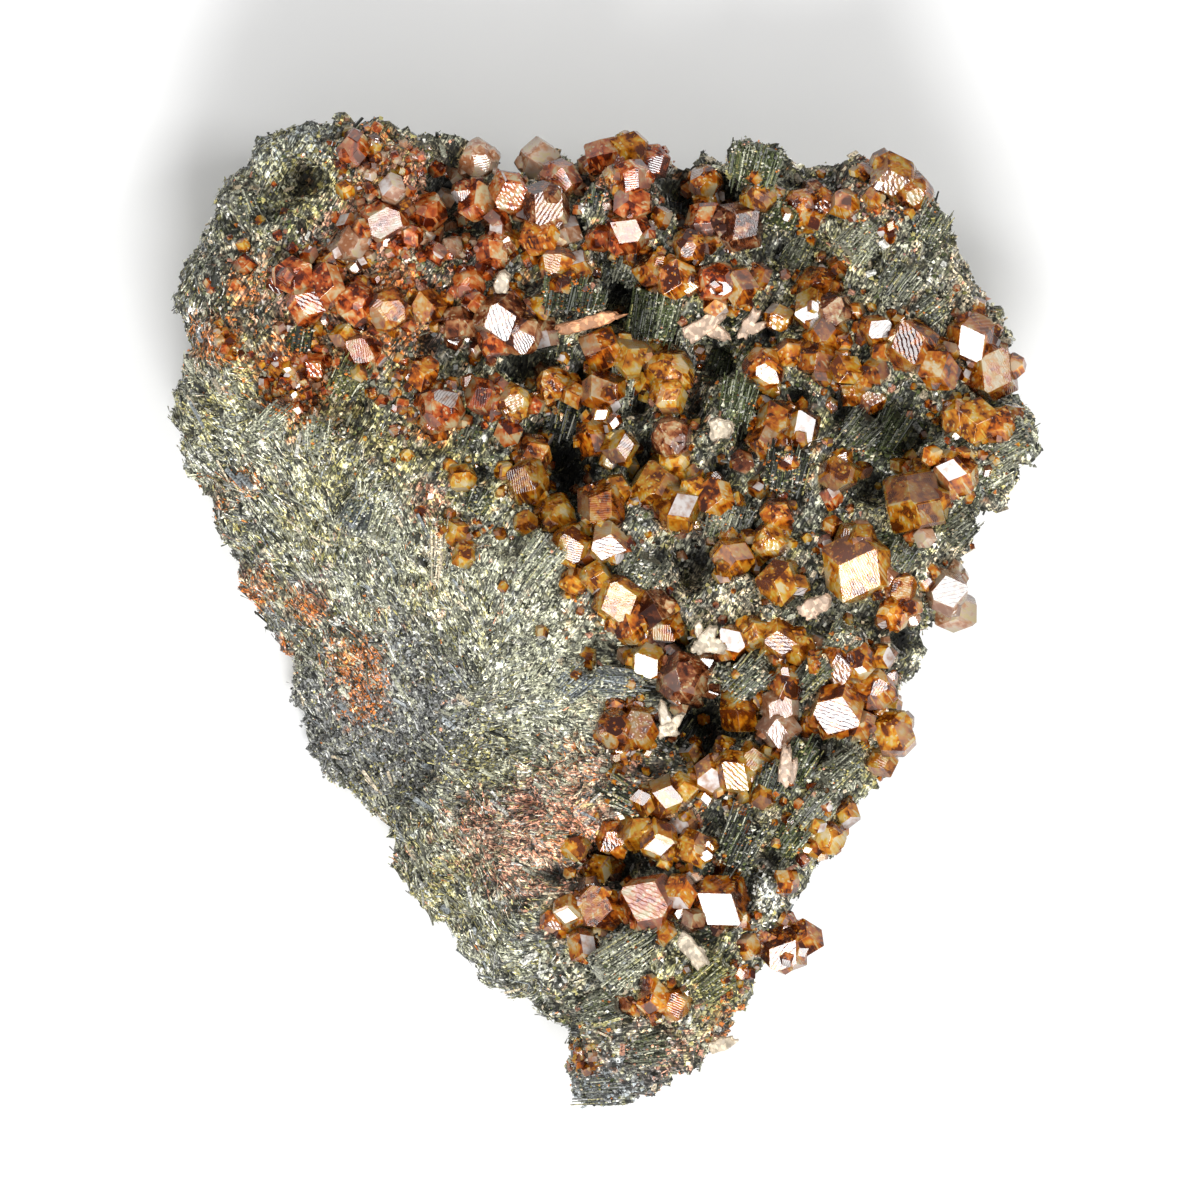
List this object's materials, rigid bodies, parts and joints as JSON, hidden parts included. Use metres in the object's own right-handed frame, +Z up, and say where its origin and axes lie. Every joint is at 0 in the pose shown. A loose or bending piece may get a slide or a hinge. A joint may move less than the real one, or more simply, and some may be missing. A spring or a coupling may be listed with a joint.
{
  "type": "mineral specimen",
  "caption": "Garnet crystals and pale feldspar blades grown on one side of a shield-shaped lump of fibrous green rock, lying on its flat back.",
  "frame": {"origin": "middle of the flat underside that the specimen lies on", "axes": "+Z up through the crystal-bearing side, +Y from the narrow tip towards the broad end along the specimen's length, +X to the right when the crystals are seen from above with the broad end away from the viewer"},
  "size_m": [0.1007, 0.1144, 0.0407],
  "materials": {
    "rock": "rough grey-green fibrous and granular rock with rust and yellow-green patches",
    "garnet": "glassy amber-orange to purple-brown crystal faces",
    "feldspar": "satin cream to pale pink blades"
  },
  "bodies": {
    "root": {"feldspar_block": "feldspar", "feldspar_forked": "feldspar", "feldspar_long_lath": "feldspar", "feldspar_lower": "feldspar", "feldspar_middle": "feldspar", "feldspar_pillar": "feldspar", "feldspar_right": "feldspar", "feldspar_slab": "feldspar", "feldspar_star": "feldspar", "feldspar_upper_left": "feldspar", "feldspar_upper_right": "feldspar", "garnet_cluster_01": "garnet", "garnet_cluster_02": "garnet", "garnet_cluster_03": "garnet", "garnet_cluster_04": "garnet", "garnet_cluster_05": "garnet", "garnet_cluster_06": "garnet", "garnet_cluster_07": "garnet", "garnet_cluster_08": "garnet", "garnet_cluster_09": "garnet", "garnet_cluster_10": "garnet", "garnet_cluster_11": "garnet", "garnet_cluster_12": "garnet", "garnet_cluster_13": "garnet", "garnet_cluster_14": "garnet", "garnet_cluster_15": "garnet", "garnet_cluster_16": "garnet", "garnet_cluster_17": "garnet", "garnet_cluster_18": "garnet", "garnet_cluster_19": "garnet", "garnet_cluster_20": "garnet", "garnet_cluster_21": "garnet", "garnet_cluster_22": "garnet", "garnet_cluster_23": "garnet", "garnet_cluster_24": "garnet", "garnet_cluster_25": "garnet", "garnet_cluster_26": "garnet", "garnet_cluster_27": "garnet", "garnet_cluster_28": "garnet", "garnet_cluster_29": "garnet", "garnet_cluster_30": "garnet", "garnet_cluster_31": "garnet", "garnet_cluster_32": "garnet", "garnet_cluster_33": "garnet", "garnet_cluster_34": "garnet", "garnet_cluster_35": "garnet", "matrix": "rock"}
  },
  "joints": []
}
